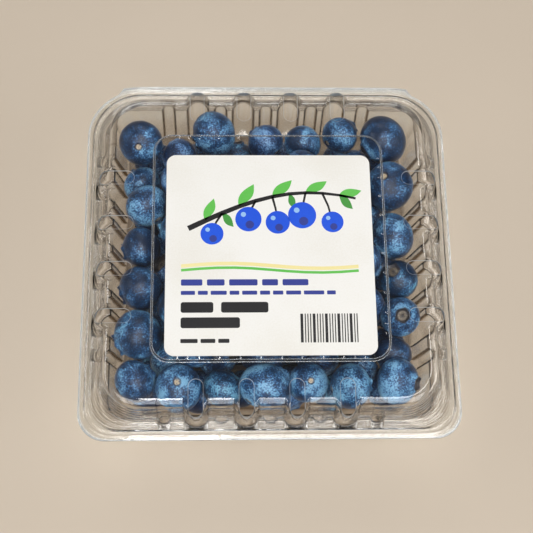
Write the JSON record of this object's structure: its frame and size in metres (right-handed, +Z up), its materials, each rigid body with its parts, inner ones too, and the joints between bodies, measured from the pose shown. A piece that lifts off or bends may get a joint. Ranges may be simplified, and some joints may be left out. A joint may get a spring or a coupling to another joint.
{
  "type": "punnet of blueberries",
  "caption": "Clear hinged plastic box with fluted walls, a vented snap-shut lid and a plain square label, filled with a loose heap of round blue berries.",
  "frame": {"origin": "centre of the tub's flat foot, on the surface that the punnet stands on", "axes": "+Z up through the lid, +Y towards the hinge at the back, +X to the right seen from the front"},
  "size_m": [0.112, 0.1134, 0.0348],
  "materials": {
    "clear_tub": "clear gloss plastic",
    "berry_skin": "dark blue fruit skin with a pale waxy bloom",
    "clear_lid": "clear gloss plastic",
    "label_paper": "smooth coated paper"
  },
  "bodies": {
    "base": {"tub": "clear_tub", "berries": "berry_skin"},
    "lid": {"lid": "clear_lid", "label": "label_paper"}
  },
  "joints": [
    {"name": "lid_hinge", "type": "hinge", "parent": "base", "child": "lid", "pos_m": [0, 0.0576, 0.02315], "axis": [-1, 0, 0], "range_deg": [0, 180]}
  ]
}
